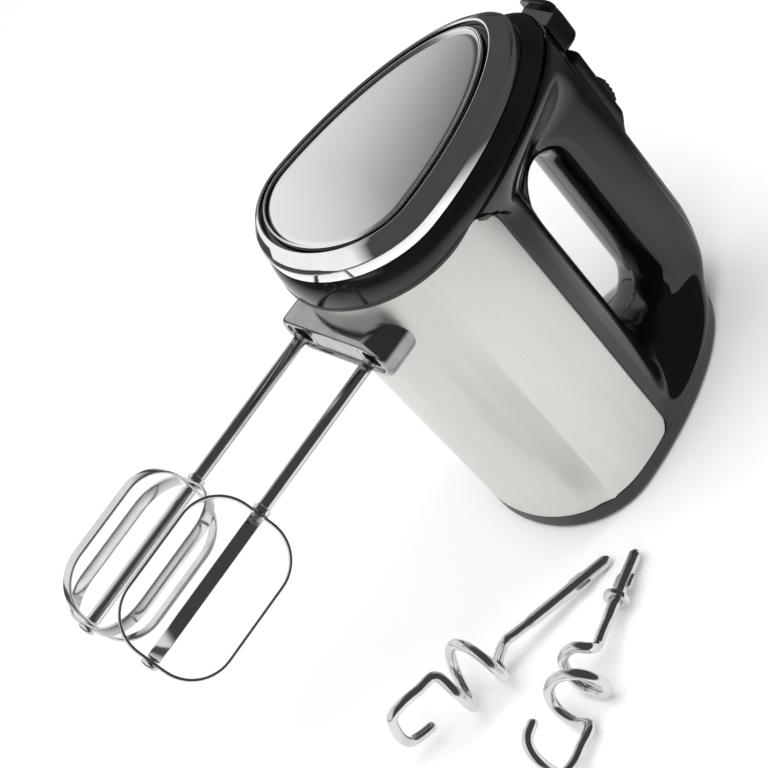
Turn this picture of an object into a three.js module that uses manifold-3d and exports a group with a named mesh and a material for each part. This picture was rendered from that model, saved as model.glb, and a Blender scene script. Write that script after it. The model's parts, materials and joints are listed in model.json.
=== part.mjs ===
// A hand mixer with two beaters and two dough hooks. The mixer stands on its heel, nose up.
// Frame, in millimetres: z runs from the heel (z = 0) up to the front plate, x runs from the
// handle to the beater tips, y is the side that is on the left when the mixer is held in use.
// Inside this file a height in use is written as u, counted up from the belly line, and
// x = heelCentre - u puts the origin at the centre of the heel face.
import * as THREE from 'three';
import { mergeVertices } from 'three/addons/utils/BufferGeometryUtils.js';
import Module from 'manifold-3d';

const wasm = await Module();
wasm.setup();

// ---- driving dimensions ----
const heelCentre = 62;          // u of the origin
const gap = 0.3;                // clearance between neighbouring pieces
const cut = 1;                  // how far a cutter runs past what it cuts
const rearZ = 9;                // heel cover meets the housing
const frontZ = 162.5;            // housing meets the bezel
const ringZ = 177;              // back of the chrome ring, on the centre line of the belly
const lean = 0.054;             // how much the face leans back for each millimetre of height
const skin = 1;                 // steel sheet
const wall = 2.6;               // plastic walls
const sockets = 22;             // the beater axes stand at y = +22 and y = -22
const beaterZ = 141;            // and at this height above the heel
const motorU = 46;              // height of the motor shaft in use
const steelTop = 66;            // upper edge of the steel
const coverU = 145;             // seam of the handle's top cover
const gripU = 117;              // underside of the grip
const gripHalf = 17;            // half the grip's width
const podU = 155.3;             // top of the raised control pod
const mouthU = -4;              // lower face of the socket collar
const collarR = 11.6;           // round ends of the socket collar
const fingerRear = 25;          // rear end of the finger opening
const fingerFront = 125;        // front end of the finger opening
const fingerLow = 60;           // lower end of the finger opening, inside the barrel
const cageTop = -77.5;          // beater cage, upper end
const cageEnd = -146.3;         // beater cage, lower end
const cageHalf = 24;            // half the cage's width
const ejectTravel = 5;          // press of the eject button

// ---- materials ----
function finish(color, roughness, metalness) {
  return new THREE.MeshStandardMaterial({ color, roughness, metalness });
}
const blackGloss = finish(0x101011, 0.16, 0);
const blackSatin = finish(0x1b1b1c, 0.45, 0);
const steel = finish(0xc9c7c0, 0.32, 1);
const chrome = finish(0xe2e4e6, 0.07, 1);
const aluminium = finish(0xc3c7c7, 0.3, 1);
const iron = finish(0x5d6063, 0.5, 0.8);
const copper = finish(0xb06a3a, 0.4, 1);
const brass = finish(0xb9975a, 0.35, 1);
const carbon = finish(0x2a2a2b, 0.8, 0);
const nylon = finish(0xe6e2d6, 0.5, 0);
const laminate = finish(0x3d6a45, 0.6, 0);
const softRubber = finish(0x161616, 0.8, 0);

// ---- solids ----
const mixer = new THREE.Group();

// A closed geometry as a solid, whatever way its faces point.
function solid(geometry) {
  const g = (geometry.index ? geometry.toNonIndexed() : geometry).clone();
  g.deleteAttribute('normal');
  g.deleteAttribute('uv');
  const merged = mergeVertices(g, 1e-4);
  const index = [...merged.index.array];
  const p = merged.attributes.position;
  const a = new THREE.Vector3();
  const b = new THREE.Vector3();
  const c = new THREE.Vector3();
  const kept = [];
  let volume = 0;
  for (let i = 0; i < index.length; i += 3) {
    const [i0, i1, i2] = index.slice(i, i + 3);
    if (i0 === i1 || i1 === i2 || i2 === i0) continue;
    kept.push(i0, i1, i2);
    a.fromBufferAttribute(p, i0);
    volume += a.dot(b.fromBufferAttribute(p, i1).cross(c.fromBufferAttribute(p, i2)));
  }
  if (volume < 0) kept.reverse();
  return new wasm.Manifold(new wasm.Mesh({
    numProp: 3, vertProperties: new Float32Array(p.array), triVerts: new Uint32Array(kept),
  }));
}

function add(name, body, material) {
  const m = body.getMesh();
  const g = new THREE.BufferGeometry();
  g.setAttribute('position', new THREE.BufferAttribute(new Float32Array(m.vertProperties), 3));
  g.setIndex(new THREE.BufferAttribute(new Uint32Array(m.triVerts), 1));
  g.computeVertexNormals();
  const mesh = new THREE.Mesh(g, material);
  mesh.name = name;
  mixer.add(mesh);
  return mesh;
}

const at = (u, y, z) => new THREE.Vector3(heelCentre - u, y, z);

// A box given by its limits in u, y and z.
function box(u0, u1, y0, y1, z0, z1) {
  const g = new THREE.BoxGeometry(u1 - u0, y1 - y0, z1 - z0);
  g.translate(heelCentre - (u0 + u1) / 2, (y0 + y1) / 2, (z0 + z1) / 2);
  return solid(g);
}

// A turned piece with its axis along z: profile points are [radius, z].
function turnedZ(profile, u, y, sides = 24) {
  const g = new THREE.LatheGeometry(profile.map(([r, z]) => new THREE.Vector2(r, z)), sides);
  g.rotateX(Math.PI / 2);
  g.translate(heelCentre - u, y, 0);
  return solid(g);
}

// A turned piece with its axis along u: profile points are [radius, u].
function turnedU(profile, y, z, sides = 20) {
  const g = new THREE.LatheGeometry(profile.map(([r, u]) => new THREE.Vector2(r, u)), sides);
  g.rotateZ(Math.PI / 2);
  g.translate(heelCentre, y, z);
  return solid(g);
}

const rod = (r, a, b) => [[0, a], [r, a], [r, b], [0, b]];
const sleeve = (ri, ro, a, b) => [[ri, a], [ro, a], [ro, b], [ri, b], [ri, a]];

// An outline drawn in y and z, pulled along u from u0 to u1.
function prismU(outline, u0, u1) {
  const g = new THREE.ExtrudeGeometry(new THREE.Shape(outline.map(([y, z]) => new THREE.Vector2(y, z))),
    { depth: u1 - u0, bevelEnabled: false });
  g.applyMatrix4(new THREE.Matrix4().makeBasis(new THREE.Vector3(0, 1, 0), new THREE.Vector3(0, 0, 1),
    new THREE.Vector3(1, 0, 0)));
  g.translate(heelCentre - u1, 0, 0);
  return solid(g);
}

// An outline drawn in u and z, pulled along y from -half to half.
function prismY(outline, half) {
  const g = new THREE.ExtrudeGeometry(new THREE.Shape(outline.map(([u, z]) => new THREE.Vector2(u, z))),
    { depth: 2 * half, bevelEnabled: false });
  g.applyMatrix4(new THREE.Matrix4().makeBasis(new THREE.Vector3(-1, 0, 0), new THREE.Vector3(0, 0, 1),
    new THREE.Vector3(0, 1, 0)));
  g.translate(heelCentre, -half, 0);
  return solid(g);
}

// An outline drawn in y and u, pulled along z.
function prismAlongZ(outline, z0, z1) {
  const g = new THREE.ExtrudeGeometry(
    new THREE.Shape(outline.map(([y, u]) => new THREE.Vector2(heelCentre - u, y))),
    { depth: z1 - z0, bevelEnabled: false });
  g.translate(0, 0, z0);
  return solid(g);
}

// A rectangle with round corners: centre, half sides, radius.
function roundRect(cx, cy, hx, hy, r, steps = 5) {
  const out = [];
  const corners = [[1, 1, 0], [-1, 1, 1], [-1, -1, 2], [1, -1, 3]];
  for (const [sx, sy, quarter] of corners) {
    for (let i = 0; i <= steps; i += 1) {
      const t = (quarter + i / steps) * Math.PI / 2;
      out.push([cx + sx * (hx - r) + r * Math.cos(t), cy + sy * (hy - r) + r * Math.sin(t)]);
    }
  }
  return out;
}

// Skins a row of outlines that all have the same number of points, and closes both ends.
function loft(rows) {
  const n = rows[0].length;
  const points = rows.flat();
  const index = [];
  for (let i = 0; i < rows.length - 1; i += 1) {
    for (let j = 0; j < n; j += 1) {
      const k = (j + 1) % n;
      index.push(i * n + j, i * n + k, (i + 1) * n + k, i * n + j, (i + 1) * n + k, (i + 1) * n + j);
    }
  }
  for (const [row, first] of [[rows[0], 0], [rows[rows.length - 1], (rows.length - 1) * n]]) {
    const middle = row.reduce((sum, p) => sum.add(p), new THREE.Vector3()).divideScalar(n);
    const m = points.push(middle) - 1;
    for (let j = 0; j < n; j += 1) {
      const k = (j + 1) % n;
      if (first) index.push(first + j, first + k, m);
      else index.push(first + k, first + j, m);
    }
  }
  const g = new THREE.BufferGeometry();
  g.setAttribute('position', new THREE.Float32BufferAttribute(points.flatMap((p) => [p.x, p.y, p.z]), 3));
  g.setIndex(index);
  return solid(g);
}

const smooth = (t) => { const c = Math.min(Math.max(t, 0), 1); return c * c * (3 - 2 * c); };
const mix = (a, b, t) => a + (b - a) * t;
const power = (v, e) => Math.sign(v) * Math.abs(v) ** e;

// ---- egg outlines ----
// An egg is two half super-ellipses that share a waist: half-width, bottom, waist, top, powers.
const plateEgg = { half: 39, bottom: 12, waist: 42, top: 127, low: 2, high: 1.8 };
const ringEgg = { half: 49, bottom: 1.5, waist: 44, top: 139.5, low: 2, high: 2 };
const bandEgg = { half: 49.5, bottom: 0.3, waist: 44, top: 149.5, low: 2, high: 2 };
const heelEgg = { half: 46.5, bottom: 6, waist: 43, top: 136, low: 2.1, high: 2 };
const barrelRear = { half: 46.5, bottom: 6, waist: 44, top: 91, low: 2.1, high: 2.7 };
const barrelFront = { half: 49.2, bottom: 3.5, waist: 44, top: 91, low: 2.1, high: 2.7 };

function mixEgg(a, b, t) {
  return Object.fromEntries(Object.keys(a).map((key) => [key, mix(a[key], b[key], t)]));
}

function insetEgg(egg, d) {
  return { ...egg, half: egg.half - d, bottom: egg.bottom + d, top: egg.top - d };
}

function eggRow(egg, z, points, leaning = 0) {
  return Array.from({ length: points }, (_, i) => {
    const t = 2 * Math.PI * (i + 0.5) / points;
    const high = Math.sin(t) > 0;
    const e = 2 / (high ? egg.high : egg.low);
    const u = egg.waist + (high ? egg.top - egg.waist : egg.waist - egg.bottom) * power(Math.sin(t), e);
    return at(u, egg.half * power(Math.cos(t), e), z - leaning * u);
  });
}

// ---- housing shapes ----
// The motor barrel, between the heel cover and the bezel, made smaller by inset all round.
function barrel(inset, z0, z1) {
  const egg = (z) => mixEgg(barrelRear, barrelFront, (z - rearZ) / (frontZ - rearZ));
  const row = (z) => eggRow(insetEgg(egg(z), inset), z, 36);
  return loft([row(z0), row(z1)]);
}

// Top line of the handle loop: level, falling away to the heel and to the nose.
function loopTop(z) {
  const rear = 14 * (Math.max(48 - z, 0) / 39) ** 2;
  const nose = 1.5 * (Math.max(z - 148, 0) / (frontZ - 148)) ** 2;
  return 151 - rear - nose;
}

// Half-width of the handle loop at height u: a grip that widens into the egg at both ends.
function loopHalf(u, z, top) {
  const centre = 134;
  const round = u > centre ? (1 - Math.min((u - centre) / (top - centre), 1) ** 2.8) ** (1 / 2.8) : 1;
  const foot = Math.min(11 * (Math.max(gripU - u, 0) / 30) ** 2, 24);
  const grip = (gripHalf + foot) * round;
  const wide = mix(heelEgg.half, bandEgg.half, z > 80 ? 1 : 0);
  const egg = wide * Math.sqrt(Math.max(1 - ((u - 44) / (top - 44)) ** 2, 0));
  const blend = Math.max(smooth((z - 130) / (frontZ - 130)), smooth((24 - z) / (24 - rearZ)));
  return mix(grip, egg, blend);
}

function loopRow(z, inset) {
  const count = 11;
  const foot = 62 + inset;
  const top = loopTop(Math.min(Math.max(z, rearZ), frontZ));
  const side = Array.from({ length: count }, (_, i) => {
    const t = i / (count - 1);
    const u = foot + (top - inset - foot) * (1 - (1 - t) ** 1.7);
    return [u, Math.max(loopHalf(u + inset * t, z, top) - inset, 0.4)];
  });
  return [...side.map(([u, y]) => at(u, y, z)), ...side.reverse().map(([u, y]) => at(u, -y, z))];
}

function loop(inset, z0, z1) {
  const steps = [12, 15, 18, 21, 24, 34, 48, 90, 130, 138, 145, 151, 156, 159.5];
  const inside = steps.filter((z) => z > z0 && z < z1);
  return loft([z0, ...inside, z1].map((z) => loopRow(z, inset)));
}

// The finger opening, grown by a margin.
const fingers = (margin) => prismY(roundRect((fingerLow + gripU) / 2, (fingerRear + fingerFront) / 2,
  (gripU - fingerLow) / 2 + margin, (fingerFront - fingerRear) / 2 + margin, 15 + margin, 6), 60);

// Side view of the steel: open below, with round corners at its upper edge.
function arc(cu, cz, r, from, to, steps = 6) {
  return Array.from({ length: steps + 1 }, (_, i) => {
    const t = THREE.MathUtils.degToRad(mix(from, to, i / steps));
    return [cu + r * Math.cos(t), cz + r * Math.sin(t)];
  });
}
const steelCorner = { rear: 6, front: 13 };
const steelSide = (margin) => prismY([
  [-20, rearZ - margin],
  ...arc(steelTop - steelCorner.rear, rearZ + steelCorner.rear, steelCorner.rear + margin, -90, 0),
  ...arc(steelTop - steelCorner.front, frontZ - steelCorner.front, steelCorner.front + margin, 0, 90),
  [-20, frontZ + margin],
], 60);

const rearEnd = rearZ + gap;
const frontEnd = frontZ - gap;
const far = 400;

// ---- front: plate, chrome ring, bezel ----
// A profile of [share, z] points carried round the egg; share 0 is outerEgg and 1 is innerEgg.
function eggRing(profile, outerEgg, innerEgg, leaning, points) {
  const rows = profile.map(([share, z]) => eggRow(mixEgg(outerEgg, innerEgg, share), z, points, leaning));
  const n = points;
  const index = [];
  for (let i = 0; i < rows.length; i += 1) {
    const next = (i + 1) % rows.length;
    for (let j = 0; j < n; j += 1) {
      const k = (j + 1) % n;
      index.push(i * n + j, i * n + k, next * n + k, i * n + j, next * n + k, next * n + j);
    }
  }
  const g = new THREE.BufferGeometry();
  const numbers = rows.flat().flatMap((p) => [p.x, p.y, p.z]);
  g.setAttribute('position', new THREE.Float32BufferAttribute(numbers, 3));
  g.setIndex(index);
  return solid(g);
}

add('front_plate', loft([
  eggRow(plateEgg, 187, 36, lean), eggRow(plateEgg, 188.4, 36, lean),
  eggRow(insetEgg(plateEgg, 18), 189.8, 36, lean),
]), aluminium);

// The chrome ring is a hollow moulding: the outer skin first, then back along the inside.
add('chrome_ring', eggRing([
  [0, 177.3], [0, 182.6], [0.1, 184.6], [0.5, 188.2], [0.88, 189.4], [0.94, 188.6], [0.94, 177.3],
  [0.84, 177.3], [0.84, 187.6], [0.52, 186.6], [0.14, 183.2], [0.14, 177.3],
], ringEgg, plateEgg, lean, 36), chrome);

const carrierRim = 3;
add('plate_carrier', loft([
  eggRow(insetEgg(plateEgg, 1.5), 177.3, 24, lean), eggRow(insetEgg(plateEgg, 1.5), 186.7, 24, lean),
]).subtract(loft([
  eggRow(insetEgg(plateEgg, 1.5 + carrierRim), 170, 24, lean),
  eggRow(insetEgg(plateEgg, 1.5 + carrierRim), 184.5, 24, lean),
])), blackSatin);

const bezelOuter = loft([
  eggRow(bandEgg, frontZ, 36), eggRow(mixEgg(bandEgg, ringEgg, 0.2), 172, 36, lean * 0.55),
  eggRow(mixEgg(bandEgg, ringEgg, 0.95), ringZ, 36, lean),
]);
const bezelInner = loft([
  eggRow(insetEgg(bandEgg, wall), frontZ - cut, 36), eggRow(insetEgg(bandEgg, wall), 166, 36),
  eggRow(insetEgg(ringEgg, wall + 1), 174, 36, lean),
]);

// ---- housing halves, steel, top cover ----
const stadium = (r) => roundRect(0, beaterZ, sockets + r, r, r - 0.01, 8);
const collarHole = (margin) => prismU(stadium(collarR + margin), -40, 30);
const handleLoop = (inset, z0, z1) => loop(inset, z0, z1).subtract(fingers(inset));
const screwPlaces = [[20, 25], [20, -25], [104, 14], [104, -14]];
const bosses = screwPlaces.map(([u, y]) => turnedZ(rod(4.6, rearEnd, 24), u, y, 12))
  .reduce((sum, piece) => sum.add(piece));
const bossHoles = screwPlaces.map(([u, y]) => turnedZ(rod(1.9, rearZ - cut, 22), u, y, 12))
  .reduce((sum, piece) => sum.add(piece));
const housing = barrel(0, rearEnd, frontEnd).add(handleLoop(0, rearEnd, frontEnd))
  .subtract(steelSide(gap))
  .add(barrel(skin + gap, rearEnd, frontEnd))
  .subtract(barrel(skin + gap + wall, rearZ - cut, frontZ + cut))
  .subtract(loop(wall, rearZ - cut, frontZ + cut).subtract(fingers(wall)))
  .subtract(box(coverU - gap / 2, far, -far, far, 0, far))
  .add(bosses.intersect(barrel(skin + gap, rearEnd, frontEnd).add(handleLoop(0.5, rearEnd, frontEnd))))
  .subtract(bossHoles)
  .subtract(collarHole(gap));
add('left_housing', housing.intersect(box(-40, 200, gap / 2, 70, 0, 200)), blackGloss);
add('right_housing', housing.intersect(box(-40, 200, -70, -gap / 2, 0, 200)), blackGloss);

add('steel_shell', barrel(0, rearEnd, frontEnd).subtract(barrel(skin, rearZ - cut, frontZ + cut))
  .intersect(steelSide(0)).subtract(collarHole(gap)), steel);

add('front_bezel', bezelOuter.subtract(bezelInner), blackGloss);

// The raised pod of the top cover carries the slider; the button stands in front of it.
const podHalf = 11.5;
const podFront = 138;
const button = { half: 9.5, back: 140.5, front: 159.8, low: 150.2, top: 162.3, nose: 167, noseLow: 155.3 };
const slider = { back: 105, front: 120, travel: 14, top: 158.4 };
const pod = prismY([[149, 93], [153.4, 98], [podU, 102], [podU, podFront], [149, podFront]], podHalf);
const podHollow = prismY([[144, 98], [149, 98], [podU - 2, 103.5], [podU - 2, podFront - 2],
  [144, podFront - 2]], podHalf - 2);
add('handle_top_cover', handleLoop(0, rearEnd, frontEnd)
  .intersect(box(coverU + gap / 2, far, -far, far, 0, far))
  .add(pod)
  .subtract(loop(2, rearZ - cut, frontZ - 2).intersect(box(100, 149, -60, 60, 20, 157)))
  .subtract(podHollow)
  .subtract(box(podU - 3, podU + cut, -3.4, 3.4, slider.back + 2.6, slider.front + slider.travel - 2.6))
  .subtract(box(100, far, -button.half - 0.4, button.half + 0.4, button.back - 0.4, button.front + 0.4)),
blackGloss);

// ---- heel cover, screws, cord inlet ----
const ventPlaces = [-24, -16, -8, 0, 8, 16, 24];
let heel = loft([
  eggRow(insetEgg(heelEgg, 3), 0, 36), eggRow(insetEgg(heelEgg, 0.9), 0.9, 36), eggRow(heelEgg, 3, 36),
  eggRow(heelEgg, rearZ, 36),
]).subtract(loft([
  eggRow(insetEgg(heelEgg, wall + 0.5), 3, 36), eggRow(insetEgg(heelEgg, wall + 0.5), rearZ + cut, 36),
]));
for (const y of ventPlaces) heel = heel.subtract(box(28, 54, y - 1.5, y + 1.5, -cut, 5));
for (const [u, y] of screwPlaces) {
  heel = heel.add(turnedZ(rod(5, 0.4, rearZ), u, y, 12))
    .subtract(turnedZ(rod(3.6, -cut, 4), u, y, 12))
    .subtract(turnedZ(rod(1.9, 3, rearZ + cut), u, y, 12));
}
const inlet = { u: 84, r: 6 };
heel = heel.subtract(turnedZ(rod(inlet.r + gap, -cut, 5), inlet.u, 0, 20));
add('heel_cover', heel, blackSatin);
screwPlaces.forEach(([u, y], i) => {
  const screw = [[0, 1.6], [3.2, 1.6], [3.2, 3.6], [1.5, 3.9], [1.5, 20], [0, 21.5]];
  add(`heel_screw_${i + 1}`, turnedZ(screw, u, y, 12), steel);
});
add('cord_grommet', turnedZ([[3.4, 0.6], [inlet.r, 0.6], [inlet.r, 6], [inlet.r + 2, 6], [inlet.r + 2, 7.6],
  [3.4, 7.6], [3.4, 0.6]], inlet.u, 0, 20), softRubber);

// ---- socket collar ----
const spindle = { inner: 4.6, outer: 6.8, low: -2.4, high: 66 };
let collar = prismU(stadium(collarR), mouthU + 1.2, 12).add(prismU(stadium(collarR - 1), mouthU, 2));
for (const y of [sockets, -sockets]) {
  collar = collar.subtract(turnedU(rod(spindle.outer + gap, -20, 20), y, beaterZ));
}
add('socket_collar', collar, blackGloss);

// ---- motor ----
const stack = [58, 82];           // the laminated iron, along z
const stator = prismAlongZ(roundRect(0, motorU, 28, 25, 8), ...stack)
  .subtract(turnedZ(rod(17.5, 50, 92), motorU, 0, 32));
const coilSlots = [1, -1].flatMap((side) => [1, -1].map((end) => (
  box(motorU + Math.min(end * 8.6, end * 17.6), motorU + Math.max(end * 8.6, end * 17.6),
    Math.min(side * 10, side * 24), Math.max(side * 10, side * 24), 50, 92))));
add('stator_core', coilSlots.reduce((sum, piece) => sum.subtract(piece), stator), iron);


for (const [side, name] of [[1, 'left'], [-1, 'right']]) {
  const y0 = Math.min(side * 15.8, side * 23.6);
  const coil = box(motorU - 17, motorU + 17, y0, y0 + 7.8, stack[0] - 6, stack[1] + 6)
    .subtract(box(motorU - 9, motorU + 9, y0 - cut, y0 + 9, stack[0] - gap, stack[1] + gap));
  add(`field_coil_${name}`, coil, copper);
  const b0 = Math.min(side * 10, side * 20);
  add(`carbon_brush_${name}`, box(motorU - 2.5, motorU + 2.5, b0, b0 + 10, 38, 46), carbon);
}

const wormLead = Math.PI;         // one tooth of the wheels, at their pitch radius
const wormZ = [126, 156];
const wheel = { teeth: 35, tip: 18.1, root: 16.6, low: 44, high: 48 };

// The thread is a narrow strip carried up a helix and sunk into the shaft.
const wormTurns = 6;
const threadStart = beaterZ - wormLead * wormTurns / 2;
function wormThread() {
  const rows = [];
  const steps = wormTurns * 10;
  for (let i = 0; i <= steps; i += 1) {
    const angle = 2 * Math.PI * wormTurns * i / steps;
    const z = threadStart + wormLead * wormTurns * i / steps;
    rows.push([[3, -0.55], [4.9, -0.35], [4.9, 0.35], [3, 0.55]].map(([r, dz]) => new THREE.Vector3(
      heelCentre - motorU + r * Math.sin(angle), r * Math.cos(angle), z + dz)));
  }
  return loft(rows);
}
add('motor_shaft', turnedZ([[0, 14], [3, 14], [3, wormZ[0]], [3.5, wormZ[0]], [3.5, wormZ[1]], [3, wormZ[1]],
  [3, 163], [0, 163]], motorU, 0, 14).add(wormThread()), steel);
add('armature_core', turnedZ(sleeve(3.3, 16.8, stack[0] + 1, stack[1] - 1), motorU, 0, 32), iron);
add('commutator', turnedZ(sleeve(3.3, 9.6, 36, 48), motorU, 0, 24), copper);
let fan = turnedZ(sleeve(3.3, 8, 96, 104), motorU, 0, 24)
  .add(turnedZ(sleeve(7.5, 27, 96, 97.2), motorU, 0, 24));
for (let i = 0; i < 7; i += 1) {
  const blade = new THREE.BoxGeometry(19.4, 1.2, 7);
  blade.translate(16.8, 0, 100.3);
  blade.rotateZ(i * 2 * Math.PI / 7);
  blade.translate(heelCentre - motorU, 0, 0);
  fan = fan.add(solid(blade));
}
add('cooling_fan', fan, nylon);

for (const [z, name] of [[24, 'rear'], [109, 'front']]) {
  add(`${name}_bush`, turnedZ(sleeve(3.05, 6, z, z + 6), motorU, 0, 20), brass);
}
add('rear_bracket', prismAlongZ(roundRect(0, motorU, 31, 27, 10), 25, 28)
  .subtract(turnedZ(rod(6 + gap, 10, 40), motorU, 0, 20)), aluminium);

// Gear carrier: a back plate with the front bush, and two decks that hold the spindles.
const decks = [[20, 23], [56, 59]];
let carrier = prismAlongZ(roundRect(0, 39.5, 33, 19.5, 4), 110, 113)
  .subtract(turnedZ(rod(6 + gap, 100, 120), motorU, 0, 20));
for (const [low, high] of decks) {
  carrier = carrier.add(box(low, high, -32, 32, 111, 158));
}
for (const y of [sockets, -sockets]) {
  carrier = carrier.subtract(turnedU(rod(spindle.outer + gap, 0, 80), y, beaterZ));
}
add('gear_carrier', carrier, aluminium);

// ---- spindles with their worm wheels ----
function wormWheel(y, phase) {
  const points = [];
  const pitchAngle = 2 * Math.PI / wheel.teeth;
  for (let i = 0; i < wheel.teeth; i += 1) {
    for (const [share, r] of [[-0.3, wheel.root], [-0.14, wheel.tip], [0.14, wheel.tip], [0.3, wheel.root]]) {
      const a = phase + pitchAngle * (i + share);
      points.push([y + r * Math.cos(a), beaterZ + r * Math.sin(a)]);
    }
  }
  return prismU(points, wheel.low, wheel.high).subtract(turnedU(rod(spindle.outer + gap, 0, 80), y, beaterZ));
}
// The left-handed thread crests at z = beaterZ on its +y side and half a lead away on its -y side, so a
// tooth gap faces it on the left and a tooth on the right.
const halfTooth = Math.PI / wheel.teeth;
for (const [side, name, phase] of [[1, 'left', Math.PI + halfTooth], [-1, 'right', 0]]) {
  add(`${name}_worm_wheel`, wormWheel(side * sockets, phase), nylon);
  add(`${name}_spindle`, turnedU(sleeve(spindle.inner, spindle.outer, spindle.low, spindle.high),
    side * sockets, beaterZ, 18), steel);
}

// ---- beaters ----
const strip = { width: 5.5, thick: 1.2, corner: 18, hole: 2.3 };
const beaterTip = 26;
function acrossRod(geometry, y, phase) {
  geometry.applyMatrix4(new THREE.Matrix4().makeBasis(
    new THREE.Vector3(0, Math.cos(phase), Math.sin(phase)), new THREE.Vector3(-1, 0, 0),
    new THREE.Vector3(0, Math.sin(phase), -Math.cos(phase))));
  geometry.translate(heelCentre, y, beaterZ);
  return solid(geometry);
}

// A closed loop of flat strip in the plane of the rod; its broad face looks outwards.
function cageLoop(y, phase, top, end) {
  const half = (top - end) / 2;
  const ring = (d) => roundRect(0, (top + end) / 2, cageHalf - d, half - d, strip.corner - d, 5)
    .map(([w, u]) => new THREE.Vector2(w, u));
  const shape = new THREE.Shape(ring(0));
  shape.holes.push(new THREE.Path(ring(strip.thick)));
  const g = new THREE.ExtrudeGeometry(shape, { depth: strip.width, bevelEnabled: false });
  g.translate(0, 0, -strip.width / 2);
  return acrossRod(g, y, phase).subtract(turnedU(rod(strip.hole, end - 5, top + 5), y, beaterZ, 12));
}

function wings(y, phase, low, high) {
  const g = new THREE.BoxGeometry(8.4, high - low, 1.4);
  g.translate(0, (low + high) / 2, 0);
  return acrossRod(g, y, phase);
}

const nest = strip.thick + gap;
for (const [side, name, phase] of [[1, 'left', -51], [-1, 'right', 6]]) {
  const y = side * sockets;
  const turn = THREE.MathUtils.degToRad(phase);
  const [r, neck, head] = [2.75, 1.95, 3.7];
  const top = cageTop + strip.thick / 2;
  const end = cageEnd - strip.thick / 2;
  add(`${name}_beater_rod`, turnedU([
    [0, beaterTip], [1.6, beaterTip], [r, beaterTip - 2], [r, top + 3], [head, top + 2.4], [head, top + gap],
    [neck, top + gap], [neck, top - 2 * nest], [r, top - 2 * nest], [r, end + 2 * nest], [neck, end + 2 * nest],
    [neck, end - gap], [head, end - gap], [head * 0.8, end - 1.9], [0, end - 1.9],
  ], y, beaterZ, 16).add(wings(y, turn, 12, 19)), chrome);
  add(`${name}_beater_outer_loop`, cageLoop(y, turn, top, end), chrome);
  add(`${name}_beater_inner_loop`, cageLoop(y, turn + Math.PI / 2, top - nest, end + nest), chrome);
}

// ---- ejector and speed slider ----
const legEnd = beaterTip + ejectTravel + 2;
add('ejector_yoke', box(71, 77, -26, 26, 138, 144).add(box(76, 137.5, -4, 4, 138, 146))
  .add(turnedU(rod(2.8, legEnd, 72), sockets, beaterZ, 14))
  .add(turnedU(rod(2.8, legEnd, 72), -sockets, beaterZ, 14)), nylon);
add('eject_button', prismY([[button.low, button.back], [button.top, button.back], [button.top, 155],
  [button.top - 1.6, 162], [button.top - 4.4, button.nose], [button.noseLow, button.nose],
  [button.noseLow, button.front], [button.low, button.front]], button.half)
  .add(box(137.8, button.low + cut, -6, 6, 141, 150)), blackGloss);
add('speed_slider', prismY([[podU + gap, slider.back], [slider.top - 0.6, slider.back + 1.5],
  [slider.top, slider.back + 5], [slider.top, slider.front - 5], [slider.top - 0.8, slider.front - 1.5],
  [podU + gap, slider.front]], 8)
  .add(box(149, podU + 0.5, -3, 3, slider.back + 3, slider.front - 3))
  .add(box(150.5, podU - 2 - gap, -7, 7, slider.back + 2, slider.front - 2)), blackGloss);
add('speed_switch', box(126, 141, -9, 9, 70, 116), blackSatin);
add('control_board', box(121.5, 123.1, -12, 12, 60, 122), laminate);

// Return spring under the yoke, standing on the carrier's upper deck.
const spring = { r: 4.2, wire: 0.45, turns: 4, low: 59.9, high: 70 };
class Coil extends THREE.Curve {
  getPoint(t, target = new THREE.Vector3()) {
    const a = 2 * Math.PI * spring.turns * t;
    return target.set(heelCentre - mix(spring.low, spring.high, t), spring.r * Math.cos(a),
      beaterZ + spring.r * Math.sin(a));
  }
}
const circle = (r, sides) => new THREE.Shape(Array.from({ length: sides }, (_, i) => (
  new THREE.Vector2(r * Math.cos(2 * Math.PI * i / sides), r * Math.sin(2 * Math.PI * i / sides)))));
add('eject_spring', solid(new THREE.ExtrudeGeometry(circle(spring.wire, 5),
  { extrudePath: new Coil(), steps: spring.turns * 10, bevelEnabled: false })), steel);

// ---- dough hooks, lying on the same surface as the heel ----
// Along its own axis a hook is a straight shank, one and a half turns of helix that start at an
// angle counted from below, and a squared end: out along the axis, across it and back.
const hookWire = 2.45;
const hooks = {
  left: { x: 58.3, y: 53.1, z: 2.45, heading: -11, tilt: 12, shank: 58, radius: 12.3, pitch: 18, start: -13,
    turn: 540, out: 20, across: 1.2, back: 11.5 },
  right: { x: 51.4, y: 65.3, z: 4.15, heading: 21, tilt: 8, shank: 51, radius: 10.8, pitch: 16, start: 158,
    turn: 585, out: 22, across: 1.15, back: 9 },
};
const endShape = [[0.45, 1], [0.85, 0.95], [1.16, 0.62], [1.22, 0], [1.16, -0.62], [0.98, -0.95]];

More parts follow.
